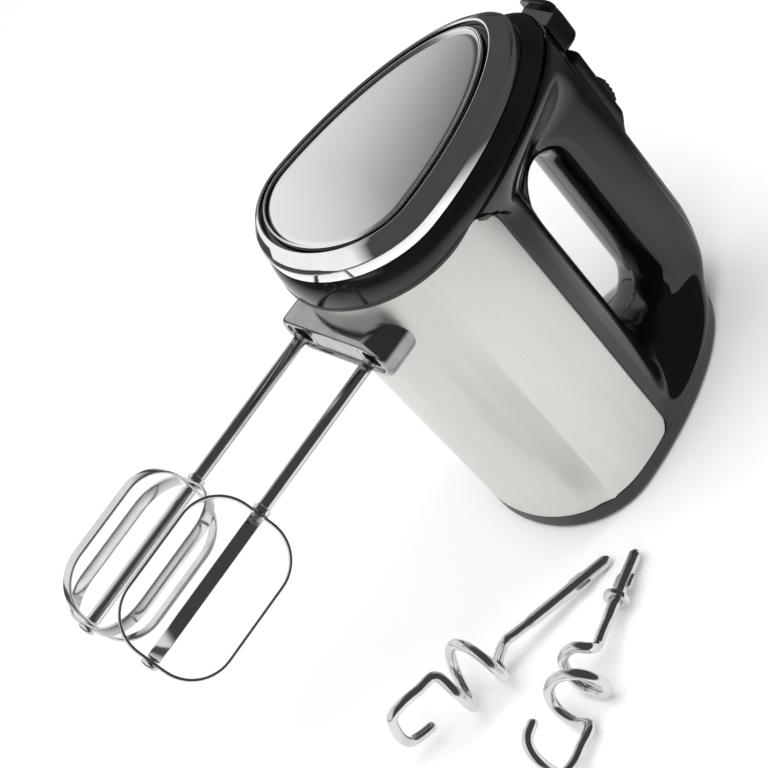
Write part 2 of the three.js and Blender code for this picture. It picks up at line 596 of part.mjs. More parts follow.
function hookLine(hook) {
  const points = [0, hook.shank / 2, hook.shank - 8, hook.shank - 2].map((a) => new THREE.Vector3(a, 0, 0));
  const eighth = 45;
  const around = (a, r, degrees) => {
    const angle = THREE.MathUtils.degToRad(degrees);
    return new THREE.Vector3(a, r * Math.sin(angle), -r * Math.cos(angle));
  };
  for (let turned = 0; turned <= hook.turn; turned += eighth) {
    const r = hook.radius * Math.min(0.62 + 0.38 * turned / 67.5, 1);
    points.push(around(hook.shank + 4 + hook.pitch * turned / 360, r, hook.start + turned));
  }
  const last = hook.shank + 4 + hook.pitch * hook.turn / 360;
  for (const [along, share] of endShape) {
    const r = hook.radius * mix(1, hook.across, Math.min(Math.abs(1 - share) * 2, 1)) * share;
    points.push(around(last + hook.out * along, r, hook.start + hook.turn));
  }
  points.push(around(last + hook.out - hook.back, -hook.radius * hook.across, hook.start + hook.turn));
  return new THREE.CatmullRomCurve3(points, false, 'catmullrom', 0.5);
}

function layDown(geometry, place) {
  geometry.rotateY(-THREE.MathUtils.degToRad(place.tilt));
  geometry.rotateZ(THREE.MathUtils.degToRad(place.heading));
  geometry.translate(place.x, place.y, place.z);
  return geometry;
}

for (const [name, hook] of Object.entries(hooks)) {
  const line = new THREE.ExtrudeGeometry(circle(hookWire, 7), { extrudePath: hookLine(hook), steps: 72,
    bevelEnabled: false });
  const fins = new THREE.BoxGeometry(7, 8.4, 1.4);
  fins.translate(16, 0, 0);
  add(`${name}_dough_hook`, solid(layDown(line, hook)).add(solid(layDown(fins, hook))), chrome);
}
const collarDisc = new THREE.LatheGeometry([[2.75, 24], [5.6, 24], [5.6, 26.5], [2.75, 26.5], [2.75, 24]]
  .map(([r, a]) => new THREE.Vector2(r, a)), 20);
collarDisc.rotateZ(-Math.PI / 2);
add('right_hook_collar', solid(layDown(collarDisc, hooks.right)), chrome);

export default mixer;
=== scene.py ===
# %% [markdown]
# A hand mixer that stands on its heel, with its two beaters fitted and its two dough hooks beside it.
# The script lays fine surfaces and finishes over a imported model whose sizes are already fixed. Each piece is
# placed by formula from a few driving dimensions, in metres, in the frame of that model.

# %% Load the frame
import json
import math
import bpy
import bmesh
import numpy as np
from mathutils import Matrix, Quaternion, Vector


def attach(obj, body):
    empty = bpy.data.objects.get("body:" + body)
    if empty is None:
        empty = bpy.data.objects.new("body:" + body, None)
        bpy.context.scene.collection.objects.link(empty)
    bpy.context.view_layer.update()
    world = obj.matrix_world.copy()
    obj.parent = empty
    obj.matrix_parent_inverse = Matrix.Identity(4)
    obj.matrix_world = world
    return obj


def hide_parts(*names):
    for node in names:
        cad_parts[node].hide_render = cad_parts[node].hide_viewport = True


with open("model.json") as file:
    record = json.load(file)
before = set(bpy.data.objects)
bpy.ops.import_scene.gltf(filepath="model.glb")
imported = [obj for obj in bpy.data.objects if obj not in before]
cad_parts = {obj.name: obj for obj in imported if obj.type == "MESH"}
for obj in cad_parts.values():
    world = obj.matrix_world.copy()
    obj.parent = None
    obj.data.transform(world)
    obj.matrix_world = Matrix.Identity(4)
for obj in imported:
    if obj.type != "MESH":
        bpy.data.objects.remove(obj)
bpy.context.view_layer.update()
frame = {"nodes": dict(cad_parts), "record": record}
MM = 0.001

# %% [markdown]
# Every dimension is read along three directions: u is the height when the mixer is held in use, counted up
# from the belly, y goes to its left, and z runs from the heel to the front plate. The model's x runs the
# other way from u, so one small function turns (u, y, z) in millimetres into a place in metres.

# %% Driving dimensions, in millimetres
HEEL_CENTRE = 62
GAP = 0.3
REAR_Z, FRONT_Z, RING_Z = 9, 162.5, 177
LEAN = 0.054
SKIN, WALL = 1, 2.4
SOCKETS, BEATER_Z = 22, 141
COLLAR_R = 10.6
STEEL_TOP, COVER_U, GRIP_U, POD_U = 66, 145, 117, 155.3
GRIP_HALF = 17
BARREL_TOP = 91
CAGE_TOP, CAGE_END, CAGE_HALF = -77.5, -146.3, 24
PLATE_Z = 188.4

PLATE_EGG = dict(half=39, bottom=12, waist=42, top=128.5, low=2, high=1.8)
RING_EGG = dict(half=47, bottom=4, waist=44, top=142, low=2, high=1.8)
BAND_EGG = dict(half=49.3, bottom=1.8, waist=44, top=151, low=2, high=1.85)
HEEL_EGG = dict(half=46.5, bottom=6, waist=43, top=136, low=2.1, high=2)
BARREL_REAR = dict(half=46.5, bottom=6, waist=44, top=BARREL_TOP, low=2.1, high=2.7)
BARREL_FRONT = dict(half=49.2, bottom=3.5, waist=44, top=BARREL_TOP, low=2.1, high=2.7)


def place(u, y, z):
    """Points in metres: x = heel centre - u, then y and z, all scaled from millimetres."""
    u, y, z = np.broadcast_arrays(HEEL_CENTRE - np.asarray(u, float), y, z)
    return np.stack([u, y, z], -1) * MM


# %% [markdown]
# A surface is a grid of points. Joining each point to its neighbours gives the faces, and when a row or a
# column runs round a closed form, its last point joins its first. The alternative, modelling by hand with
# extrusions, would lose the formulas that keep every piece true to the same few dimensions.

# %% Meshes from grids
def grid_faces(rows, cols, wrap_rows=False, wrap_cols=False, start=0):
    """Quads of a grid: corner (i, j) joins (i, j+1), (i+1, j+1) and (i+1, j), with indices i * cols + j."""
    i, j = np.meshgrid(np.arange(rows if wrap_rows else rows - 1),
                       np.arange(cols if wrap_cols else cols - 1), indexing="ij")
    below, beside = (i + 1) % rows, (j + 1) % cols
    quads = np.stack([i * cols + j, i * cols + beside, below * cols + beside, below * cols + j], -1)
    return quads.reshape(-1, 4) + start


def shade_smooth(mesh, degrees):
    """Smooth faces, with edges sharper than the angle left hard."""
    mesh.polygons.foreach_set("use_smooth", np.ones(len(mesh.polygons), bool))
    mesh.set_sharp_from_angle(angle=math.radians(degrees))


def finish_mesh(name, points, faces, smooth_angle=40, recalculate=True):
    """A mesh object at the origin, doubles merged, normals outwards, edges sharper than the angle left hard."""
    mesh = bpy.data.meshes.new(name)
    mesh.from_pydata(points.reshape(-1, 3).tolist(), [], faces)
    work = bmesh.new()
    work.from_mesh(mesh)
    bmesh.ops.remove_doubles(work, verts=work.verts, dist=2e-6)
    bmesh.ops.dissolve_degenerate(work, edges=work.edges, dist=1e-7)
    if recalculate:
        bmesh.ops.recalc_face_normals(work, faces=work.faces)
    work.to_mesh(mesh)
    work.free()
    shade_smooth(mesh, smooth_angle)
    obj = bpy.data.objects.new(name, mesh)
    bpy.context.scene.collection.objects.link(obj)
    return obj


def closed_loft(name, points, cap_start=True, cap_end=True, **keep):
    """Rows of closed outlines skinned one to the next; a flat face closes each end."""
    rows, cols = points.shape[:2]
    faces = grid_faces(rows, cols, wrap_cols=True).tolist()
    if cap_start:
        faces.append(list(range(cols))[::-1])
    if cap_end:
        faces.append([(rows - 1) * cols + j for j in range(cols)])
    return finish_mesh(name, points, faces, **keep)


def ring_sweep(name, points, **keep):
    """A closed section carried round a closed path: the grid wraps both ways."""
    rows, cols = points.shape[:2]
    return finish_mesh(name, points, grid_faces(rows, cols, True, True).tolist(), **keep)


# %% Joining parts of one piece, and carving it
def carve(obj, cutter):
    """The boolean difference of two objects, put into the first one's mesh; the cutter is thrown away."""
    cut = obj.modifiers.new("cut", "BOOLEAN")
    cut.operation, cut.solver, cut.object = "DIFFERENCE", "EXACT", cutter
    graph = bpy.context.evaluated_depsgraph_get()
    mesh = bpy.data.meshes.new_from_object(obj.evaluated_get(graph))
    obj.modifiers.clear()
    obj.data = mesh
    shade_smooth(mesh, 35)
    bpy.data.objects.remove(cutter)
    return obj


def merge(name, *parts):
    """One object that holds the meshes of several closed forms."""
    work = bmesh.new()
    for part in parts:
        work.from_mesh(part.data)
    mesh = bpy.data.meshes.new(name)
    work.to_mesh(mesh)
    work.free()
    shade_smooth(mesh, 40)
    for part in parts:
        bpy.data.objects.remove(part)
    obj = bpy.data.objects.new(name, mesh)
    bpy.context.scene.collection.objects.link(obj)
    return obj


# %% [markdown]
# The mixer's sections are eggs: two half super-ellipses that share a waist. A super-ellipse raises the cosine
# and the sine to a power below one, which fills out its corners. The chrome ring, the band, the barrel and the
# heel are the same family with other numbers, so one function draws them all.

# %% Eggs
def power(value, exponent):
    """Raises the size of a number and keeps its sign."""
    return np.sign(value) * np.abs(value) ** exponent


def smooth(t):
    """The S-curve 3t^2 - 2t^3, held at 0 and 1 outside the unit range."""
    t = np.clip(t, 0, 1)
    return t * t * (3 - 2 * t)


def mix(a, b, t):
    return a + (b - a) * t


def mix_egg(a, b, t):
    return {key: mix(a[key], b[key], t) for key in a}


def inset_egg(egg, d):
    return {**egg, "half": egg["half"] - d, "bottom": egg["bottom"] + d, "top": egg["top"] - d}


def egg_uy(egg, t):
    """u = waist + reach * sin^(2/p), y = half * cos^(2/p); reach and p are the upper or the lower ones."""
    c, s = np.cos(t), np.sin(t)
    above = s > 0
    e = 2 / np.where(above, egg["high"], egg["low"])
    reach = np.where(above, egg["top"] - egg["waist"], egg["waist"] - egg["bottom"])
    return egg["waist"] + reach * power(s, e), egg["half"] * power(c, e)


def egg_row(egg, z, count, leaning=0.0):
    """One closed egg outline at height z; a leaning outline loses height as u grows."""
    u, y = egg_uy(egg, 2 * np.pi * np.arange(count) / count)
    return place(u, y, z - leaning * u)


def soften(profile, radius, steps=4):
    """Rounds each corner of a closed polygon with a quadratic curve that starts one radius before it."""
    p = np.asarray(profile, float)
    before, after = np.roll(p, 1, 0), np.roll(p, -1, 0)
    to_before, to_after = before - p, after - p
    len_before = np.linalg.norm(to_before, axis=1, keepdims=True)
    len_after = np.linalg.norm(to_after, axis=1, keepdims=True)
    start = p + to_before * np.minimum(radius / len_before, 0.45)
    end = p + to_after * np.minimum(radius / len_after, 0.45)
    t = np.linspace(0, 1, steps)[None, :, None]
    curve = start[:, None] * (1 - t) ** 2 + p[:, None] * 2 * t * (1 - t) + end[:, None] * t ** 2
    return curve.reshape(-1, 2)


# %% [markdown]
# Shader arithmetic reads best as plain expressions. Value wraps one output of a node, and each operator adds
# the Math node that does the sum. Finish makes a material, and its node method adds any other node.

# %% A small shader language
class Value:
    """One socket of a node tree, with arithmetic."""

    def __init__(self, finish, socket):
        self.finish, self.socket = finish, socket

    def _math(self, operation, *values):
        return self.finish.node("ShaderNodeMath", {"operation": operation}, dict(enumerate(values)))

    def __add__(self, other): return self._math("ADD", self, other)
    def __sub__(self, other): return self._math("SUBTRACT", self, other)
    def __rsub__(self, other): return self._math("SUBTRACT", other, self)
    def __mul__(self, other): return self._math("MULTIPLY", self, other)
    __radd__, __rmul__ = __add__, __mul__

    def between(self, low, high):
        """0 below low, 1 above high, a straight ramp between them."""
        return self.finish.node("ShaderNodeMapRange", {}, {"Value": self, "From Min": low, "From Max": high})


class Finish:
    """A material with one Principled shader; constants are set on the shader's own sockets."""

    def __init__(self, name, tree=None, **constants):
        if tree is None:
            self.material = bpy.data.materials.new(name)
            self.material.use_nodes = True
            tree = self.material.node_tree
        self.tree = tree
        self.shader = next((n for n in tree.nodes if n.type == "BSDF_PRINCIPLED"), None)
        for socket, value in constants.items():
            self.shader.inputs[socket.replace("_", " ")].default_value = value

    def node(self, kind, settings, sockets, output=0):
        """Adds a node: its settings first, then the values or links of its sockets."""
        made = self.tree.nodes.new(kind)
        for key, value in settings.items():
            if key == "stops":
                ramp = made.color_ramp.elements
                while len(ramp) < len(value):
                    ramp.new(0.5)
                for stop, (position, colour) in zip(ramp, value):
                    stop.position, stop.color = position, (*colour, 1)
            else:
                setattr(made, key, value)
        for key, value in sockets.items():
            if isinstance(value, Value):
                self.tree.links.new(value.socket, made.inputs[key])
            else:
                made.inputs[key].default_value = value
        return Value(self, made.outputs[output])

    def feed(self, socket, value):
        self.tree.links.new(value.socket, self.shader.inputs[socket])

    def surface(self, colour, roughness, normal):
        """Feeds the three inputs that vary over every surface here, and hands back the material."""
        self.feed("Base Color", colour)
        self.feed("Roughness", roughness)
        self.feed("Normal", normal)
        return self.material

    def position(self, scale=(1, 1, 1)):
        """Object coordinates, in metres, stretched per axis."""
        where = self.node("ShaderNodeTexCoord", {}, {}, "Object")
        return self.node("ShaderNodeMapping", {}, {"Vector": where, "Scale": scale})

    def noise(self, scale, stretch=(1, 1, 1), detail=2.0, rough=0.5):
        """Perlin noise of so many cells to the metre."""
        return self.node("ShaderNodeTexNoise", {}, {"Vector": self.position(stretch), "Scale": scale,
                                                    "Detail": detail, "Roughness": rough})

    def tint(self, factor, dark, light):
        """A colour between two, by a factor."""
        return self.node("ShaderNodeValToRGB", {"stops": [(0.0, dark), (1.0, light)]}, {"Fac": factor})

    def bump(self, height, distance, strength=1.0):
        return self.node("ShaderNodeBump", {}, {"Height": height, "Distance": distance, "Strength": strength})


# %% [markdown]
# The housing is polished black moulding. A real one is never a perfect mirror: the mould leaves a faint
# orange-peel, and handling leaves patches that are a little less bright. Two noises do that, a slow one for
# the roughness and a fine one for the bump.

# %% Black mouldings
def gloss_black():
    made = Finish("gloss_black", Specular_IOR_Level=0.6)
    smudge = made.noise(38, detail=4).between(0.42, 0.72)
    dust = made.noise(900, detail=2).between(0.66, 0.8)
    return made.surface(made.tint(smudge, (0.0035, 0.0035, 0.004), (0.006, 0.006, 0.0065)),
                        0.085 + smudge * 0.075 + dust * 0.1,
                        made.bump(made.noise(420, detail=1), 0.000012))


def satin_black():
    made = Finish("satin_black", Specular_IOR_Level=0.5)
    grain = made.noise(2600, detail=3, rough=0.7)
    wear = made.noise(55, detail=5).between(0.4, 0.75)
    return made.surface(made.tint(wear, (0.016, 0.016, 0.017), (0.03, 0.03, 0.031)),
                        0.36 + wear * 0.16,
                        made.bump(grain, 0.00005, 0.8))


# %% [markdown]
# Brushed steel gets its look from thousands of fine scratches that all run one way, here along the body. A
# noise stretched a hundred times along z gives them. It drives the colour, the roughness and a very small
# bump, so highlights smear across the brushing as they do on the real sheet.

# %% Metals
def brushed_steel():
    made = Finish("brushed_steel", Metallic=1.0)
    hair = made.noise(1500, (1, 1, 0.012), detail=5, rough=0.65)
    band = made.noise(160, (1, 1, 0.03), detail=2)
    cloud = made.noise(22, detail=3)
    streak = hair * 0.6 + band * 0.4
    return made.surface(made.tint(streak.between(0.3, 0.7), (0.66, 0.65, 0.62), (0.73, 0.72, 0.69)),
                        0.3 + streak * 0.1 + cloud * 0.08,
                        made.bump(hair, 0.00002, 0.6))


def satin_plate():
    made = Finish("satin_plate", Metallic=1.0)
    grain = made.noise(2600, detail=4, rough=0.7)
    cloud = made.noise(26, detail=3)
    return made.surface(made.tint(grain.between(0.3, 0.7), (0.80, 0.82, 0.825), (0.86, 0.88, 0.885)),
                        0.23 + grain * 0.05 + cloud * 0.05,
                        made.bump(grain, 0.000004, 0.4))


def chrome():
    made = Finish("chrome", Metallic=1.0)
    haze = made.noise(70, detail=4).between(0.45, 0.8)
    return made.surface(made.tint(haze, (0.86, 0.87, 0.885), (0.79, 0.80, 0.81)),
                        0.035 + haze * 0.05,
                        made.bump(made.noise(500, detail=1), 0.0000015, 0.5))


def wire_metal(name="wire_metal", light=(0.70, 0.70, 0.685), dark=(0.60, 0.60, 0.585), haziness=0.12):
    """Plated metal that is a little duller than the ring: darker, with a faint haze."""
    made = Finish(name, Metallic=1.0)
    haze = made.noise(90, detail=4).between(0.4, 0.75)
    return made.surface(made.tint(haze, light, dark),
                        haziness + haze * 0.07,
                        made.bump(made.noise(700, detail=1), 0.000002, 0.4))


def turned_metal(name, dark, light, roughness=0.25):
    """Metal with the fine rings or lines of machining."""
    made = Finish(name, Metallic=1.0)
    lines = made.noise(1300, detail=3)
    patch = made.noise(60, detail=3)
    return made.surface(made.tint(lines.between(0.3, 0.7), dark, light),
                        roughness + lines * 0.12 + patch * 0.08,
                        made.bump(lines, 0.00003, 0.6))


def laminations():
    """Stamped sheets half a millimetre thick, stacked along z: a sawtooth wave along z."""
    made = Finish("laminated_iron", Metallic=0.8)
    sheets = made.node("ShaderNodeTexWave", {"wave_type": "BANDS", "bands_direction": "Z"},
                       {"Vector": made.position(), "Scale": 320.0, "Distortion": 0.3, "Detail": 1.0})
    rust = made.noise(90, detail=4).between(0.5, 0.75)
    return made.surface(made.tint(rust, (0.13, 0.13, 0.14), (0.11, 0.085, 0.07)),
                        0.38 + rust * 0.25,
                        made.bump(sheets, 0.00008))


def winding():
    """Enamelled wire laid along z, seen as fine ridges."""
    made = Finish("copper", Metallic=1.0)
    wires = made.node("ShaderNodeTexWave", {"wave_type": "BANDS", "bands_direction": "DIAGONAL"},
                      {"Vector": made.position((1, 1, 0.05)), "Scale": 420.0, "Distortion": 0.8, "Detail": 1.0})
    return made.surface(made.tint(wires, (0.42, 0.16, 0.06), (0.72, 0.32, 0.15)),
                        0.26 + made.noise(200) * 0.15,
                        made.bump(wires, 0.0001))


# %% Mouldings and small parts
def moulded(name, dark, light, roughness, grain=1200):
    """A plain moulded or pressed material with a fine grain and slow patches."""
    made = Finish(name)
    patch = made.noise(75, detail=4).between(0.35, 0.7)
    return made.surface(made.tint(patch, dark, light),
                        roughness + patch * 0.12,
                        made.bump(made.noise(grain, detail=3), 0.00004, 0.7))


def circuit_board():
    """Green laminate with paler copper tracks under the lacquer: thresholded cells."""
    made = Finish("green_laminate")
    cells = made.node("ShaderNodeTexVoronoi", {"feature": "DISTANCE_TO_EDGE"},
                      {"Vector": made.position((1, 1, 0.5)), "Scale": 160.0}, "Distance")
    track = cells.between(0.05, 0.09)
    return made.surface(made.tint(track, (0.09, 0.26, 0.1), (0.03, 0.13, 0.05)),
                        0.3 + track * 0.2,
                        made.bump(track, 0.00005))


FINISHES = {
    "gloss_black": gloss_black(),
    "satin_black": satin_black(),
    "brushed_steel": brushed_steel(),
    "satin_aluminium": satin_plate(),
    "chrome": chrome(),
    "wire_metal": wire_metal(),
    "smoked_metal": wire_metal("smoked_metal", (0.36, 0.365, 0.37), (0.28, 0.285, 0.29), 0.14),
    "machined_steel": turned_metal("machined_steel", (0.5, 0.5, 0.5), (0.68, 0.68, 0.67)),
    "laminated_iron": laminations(),
    "copper": winding(),
    "bearing_bronze": turned_metal("bearing_bronze", (0.45, 0.31, 0.13), (0.6, 0.43, 0.2), roughness=0.35),
    "carbon": moulded("carbon", (0.02, 0.02, 0.021), (0.04, 0.04, 0.041), 0.55),
    "white_nylon": moulded("white_nylon", (0.72, 0.7, 0.63), (0.8, 0.78, 0.72), 0.38),
    "green_laminate": circuit_board(),
    "black_rubber": moulded("black_rubber", (0.014, 0.014, 0.014), (0.028, 0.028, 0.028), 0.66, 2200),
}
node_slots = {part["node"]: part["material_slot"] for part in frame["record"]["subparts"]}
for node, obj in frame["nodes"].items():
    obj.data.materials.clear()
    obj.data.materials.append(FINISHES[node_slots[node]])
print("finishes:", len(FINISHES), "given to", len(node_slots), "carried-over pieces")


def fit(obj, body, slot, *nodes):
    """Gives a piece its finish and its body, hides the nodes that it stands for, and says how big it is."""
    obj.data.materials.clear()
    obj.data.materials.append(FINISHES[slot])
    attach(obj, body)
    if nodes:
        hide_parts(*nodes)
    print(f"{obj.name}: {len(obj.data.polygons)} faces, {[round(d / MM, 1) for d in obj.dimensions]} mm")
    return obj


# %% [markdown]
# The front plate is a thin satin disc with a low crown, held in a chrome ring. The crown matters more than it
# looks: it spreads the reflection of the room across the plate as one soft gradient. A flat plate would show
# a single tone. Rows of ever smaller eggs make it, from the rim to a point in the middle.

# %% Front plate with its fine trim
PLATE_CROWN = 2.0
ROUND = 180


def plate_points():
    """Height over the rim is crown * (1 - share^2), less half a millimetre at the edge; then down and back."""
    share = np.concatenate([np.linspace(0.001, 0.9, 24), 1 - 0.1 * np.linspace(0.9, 0, 10) ** 2])
    centre = dict(half=0, bottom=52, waist=52, top=52, low=2, high=2)
    inner = inset_egg(PLATE_EGG, 1.9)
    rows = []
    for s in share:
        edge = 0.5 * max(s - 0.97, 0) / 0.03
        rows.append(egg_row(mix_egg(centre, inner, s), PLATE_Z + PLATE_CROWN * (1 - s * s) - edge, ROUND, LEAN))
    for s, z in [(1.0, 187.2), (0.8, 187.2), (0.001, 187.2)]:
        rows.append(egg_row(mix_egg(centre, inner, s), z, ROUND, LEAN))
    return np.array(rows)


fit(closed_loft("satin_front_plate", plate_points()), "mixer_body", "satin_aluminium", "front_plate")


def egg_profile(profile, leaning=LEAN, outer=RING_EGG, inner=PLATE_EGG, width=10):
    """Each profile point (inset in mm, z) becomes an egg between the outer and the inner one."""
    return np.array([egg_row(mix_egg(outer, inner, d / width), z, ROUND, leaning) for d, z in profile])


trim_profile = soften([(10.1, 187.3), (10.1, 188.9), (10.45, 189.35), (10.8, 189.1), (11.15, 189.35),
                       (11.55, 189.1), (11.6, 187.3)], 0.22)
fit(ring_sweep("plate_trim", egg_profile(trim_profile)), "mixer_body", "chrome")

# %% [markdown]
# The ring is the brightest thing on the mixer. It is a chromed moulding with two facets: a steep outer one
# that mirrors the surroundings low down, and a flatter inner one that mirrors the sky. Its corners are rounded
# by a few tenths of a millimetre, since a true knife edge never catches a highlight.

# %% Chrome ring and the dark channel inside it
ring_profile = soften([(0, 177.3), (0, 182.4), (1.2, 184.7), (4.6, 188.1), (6.9, 189.2), (7.5, 188.7),
                       (7.5, 177.3)], 0.5, 5)
fit(ring_sweep("bright_ring", egg_profile(ring_profile)), "mixer_body", "chrome", "chrome_ring")

channel_profile = soften([(7.6, 184.5), (7.6, 186.4), (9.95, 186.4), (9.95, 184.5)], 0.3)
fit(ring_sweep("dark_channel", egg_profile(channel_profile)), "mixer_body", "gloss_black", "plate_carrier")

# %% [markdown]
# Behind the ring a gloss band turns the egg of the ring into the fuller section of the body. Its skin swells
# slowly at first and then closes in on the ring. A separate lip runs along its rear edge beside the steel,
# where the real moulding has a fine step that catches the light.

# %% Front band
BAND_STEPS = 18


def band_points():
    """f runs 0 to 1 from the housing to the ring; the section mixes by 0.95 f^2.6 and leans by f^1.1."""
    f = np.linspace(0, 1, BAND_STEPS)
    z = FRONT_Z + (RING_Z - FRONT_Z) * f
    share, leaning = 0.95 * f ** 2.6, LEAN * f ** 1.1
    outer = [egg_row(mix_egg(BAND_EGG, RING_EGG, s), h, ROUND, k) for s, h, k in zip(share, z, leaning)]
    inner = [egg_row(inset_egg(mix_egg(BAND_EGG, RING_EGG, s), WALL), min(h, 176.5), ROUND, k)
             for s, h, k in zip(share[::-1], z[::-1], leaning[::-1])]
    return np.array(outer + inner)


fit(ring_sweep("front_band", band_points()), "mixer_body", "gloss_black", "front_bezel")
lip_profile = soften([(-0.35, FRONT_Z - 0.9), (-0.45, FRONT_Z + 0.9), (0.3, FRONT_Z + 1.5),
                      (0.9, FRONT_Z + 1.2), (0.9, FRONT_Z - 0.9)], 0.3)
LIP_RISE, LIP_FADE = math.radians(14), 0.25


def lip_points():
    """The lip follows the lower part of the egg only; its section shrinks to nothing at both ends."""
    start, end = np.pi - LIP_RISE, 2 * np.pi + LIP_RISE
    t = np.linspace(start, end, 150)
    swell = smooth(np.minimum(t - start, end - t) / LIP_FADE)
    u, y = egg_uy(inset_egg(BAND_EGG, 0.9), t)
    waist, rows = BAND_EGG["waist"], []
    for d, z in lip_profile:
        reach = 1 + (0.9 - d) * swell / 46
        rows.append(place(waist + (u - waist) * reach, y * reach, FRONT_Z + (z - FRONT_Z) * swell))
    return np.array(rows).transpose(1, 0, 2)


fit(closed_loft("band_lip", lip_points()), "mixer_body", "satin_black")

# %% [markdown]
# The steel is one sheet, wrapped under the belly from one side to the other. Seen from the side its upper edge
# is a straight line with a round corner at each end. The grid follows that edge: each row at height z reaches
# up exactly to the edge there, so the border is clean without any cutting. A shallow crease runs along each
# side and fades towards the front, which keeps the flat flank from looking like a tin can.

# %% Steel shell
STEEL_CORNER_REAR, STEEL_CORNER_FRONT = 6, 13
STEEL_ROWS, STEEL_COLS = 110, 240


def steel_edge(z, margin=0.0):
    """Height of the steel's upper edge: level, with quarter circles down to each end."""
    r, f = STEEL_CORNER_REAR + margin, STEEL_CORNER_FRONT + margin
    rear_drop = np.clip(REAR_Z + STEEL_CORNER_REAR - z, 0, r)
    front_drop = np.clip(z - (FRONT_Z - STEEL_CORNER_FRONT), 0, f)
    drop = r - np.sqrt(r * r - rear_drop ** 2) + f - np.sqrt(f * f - front_drop ** 2)
    return STEEL_TOP + margin - drop


def barrel_egg(z):
    return mix_egg(BARREL_REAR, BARREL_FRONT, (np.asarray(z) - REAR_Z) / (FRONT_Z - REAR_Z))


def steel_points():
    """The angle runs from one edge under the belly to the other; a rib of 0.35 mm stands along each side."""
    ends = (1 - np.cos(np.linspace(0, np.pi, STEEL_ROWS))) / 2
    z = (REAR_Z + GAP + (FRONT_Z - REAR_Z - 2 * GAP) * ends)[:, None]
    egg = barrel_egg(z)
    lift = ((steel_edge(z) - egg["waist"]) / (egg["top"] - egg["waist"])) ** (egg["high"] / 2)
    reach = np.arcsin(lift)
    t = 1.5 * np.pi + np.linspace(-1, 1, STEEL_COLS)[None] * (np.pi / 2 + reach)
    u, y = egg_uy(egg, t)
    crease = np.exp(-((u - 27) / 1.1) ** 2) - 0.8 * np.exp(-((u - 22) / 2.4) ** 2)
    crease = crease * smooth((158 - z) / 120) * (np.abs(y) > 20) * 0.8
    return place(u, y + np.sign(y) * crease, z)


steel_grid = steel_points()
steel_faces = grid_faces(STEEL_ROWS, STEEL_COLS)
middle = steel_grid.reshape(-1, 3)[steel_faces].mean(1) / MM
beside_axis = np.hypot(np.maximum(np.abs(middle[:, 1]) - SOCKETS, 0), middle[:, 2] - BEATER_Z)
under_collar = (beside_axis < COLLAR_R - 2) & (middle[:, 0] > 45)
steel = finish_mesh("steel_wrap", steel_grid, steel_faces[~under_collar].tolist(), recalculate=False)
sheet = steel.modifiers.new("wall", "SOLIDIFY")
sheet.thickness, sheet.offset = SKIN * MM, -1
fit(steel, "mixer_body", "brushed_steel", "steel_shell")

# %% [markdown]
# Each half of the housing is one surface y = H(u, z): the half-width at every place of the side view. Two
# shapes meet in it. The barrel arches over the motor below the finger opening, and the handle loop runs round
# the opening. Near the opening the loop's half-width falls to nothing along a rounded edge, which makes the
# wall of the opening, and at both ends the loop swells into the egg of the heel or of the band.

# %% Half-width of the housing
OPENING = dict(u0=BARREL_TOP - 0.02, u1=GRIP_U, z0=25, z1=125, top=12.9, front=12.9, rear=9)
EDGE_ROUND, EDGE_POWER = 9.5, 2.3
LOOP_CENTRE = 134


def loop_top(z):
    """Top line: level at 151, less 14 ((48 - z) / 39)^2 at the rear."""
    return 151 - 14 * (np.maximum(48 - z, 0) / 39) ** 2


def end_blend(z):
    """0 along the grip, rising to 1 at the band and at the heel."""
    return np.maximum(smooth((z - 130) / (FRONT_Z - 130)), smooth((24 - z) / (24 - REAR_Z)))


def loop_half(u, z):
    """A round grip with a flared foot, mixed into an ellipse about u = 44 towards either end."""
    top = loop_top(z)
    share = np.clip((u - LOOP_CENTRE) / (top - LOOP_CENTRE), 0, 1)
    round_top = (1 - share ** 2.8) ** (1 / 2.8)
    foot = np.minimum(11 * (np.maximum(GRIP_U - u, 0) / 30) ** 2, 24)
    wide = np.where(z > 80, BAND_EGG["half"], HEEL_EGG["half"])
    egg = wide * np.sqrt(np.maximum(1 - ((u - 44) / (top - 44)) ** 2, 0))
    return mix((GRIP_HALF + foot) * round_top, egg, end_blend(z))


def outside_opening(u, z):
    """Signed distance to a rounded rectangle with its own corner radii: negative inside the hole."""
    cu, cz = (OPENING["u0"] + OPENING["u1"]) / 2, (OPENING["z0"] + OPENING["z1"]) / 2
    low = np.where(z > cz, OPENING["front"], OPENING["rear"])
    r = np.where(u > cu, OPENING["top"], low)
    du = np.abs(u - cu) - (OPENING["u1"] - cu) + r
    dz = np.abs(z - cz) - (OPENING["z1"] - cz) + r
    return np.hypot(np.maximum(du, 0), np.maximum(dz, 0)) + np.minimum(np.maximum(du, dz), 0) - r


def barrel_half(u, z):
    """Upper half of the barrel's egg: half * (1 - ((u - waist) / reach)^p)^(1/p)."""
    egg = barrel_egg(z)
    rise = np.clip((u - egg["waist"]) / (egg["top"] - egg["waist"]), 0, 1)
    return egg["half"] * (1 - rise ** egg["high"]) ** (1 / egg["high"])


def housing_half(u, z):
    """The larger of the loop, rounded off at the opening, and the barrel, with a small fillet between them.

    The fillet adds k/4 (1 - |difference| / k)^2; k shrinks to nothing at the ends and where both are thin."""
    depth = np.clip(outside_opening(u, z) / EDGE_ROUND, 0, 1)
    edge = (1 - (1 - depth) ** EDGE_POWER) ** (1 / EDGE_POWER)
    loop, barrel = loop_half(u, z) * edge, barrel_half(u, z)
    larger = np.maximum(loop, barrel)
    k = np.minimum(4 * (1 - end_blend(z)), larger) + 1e-6
    return larger + 0.25 * k * np.clip(1 - np.abs(loop - barrel) / k, 0, 1) ** 2


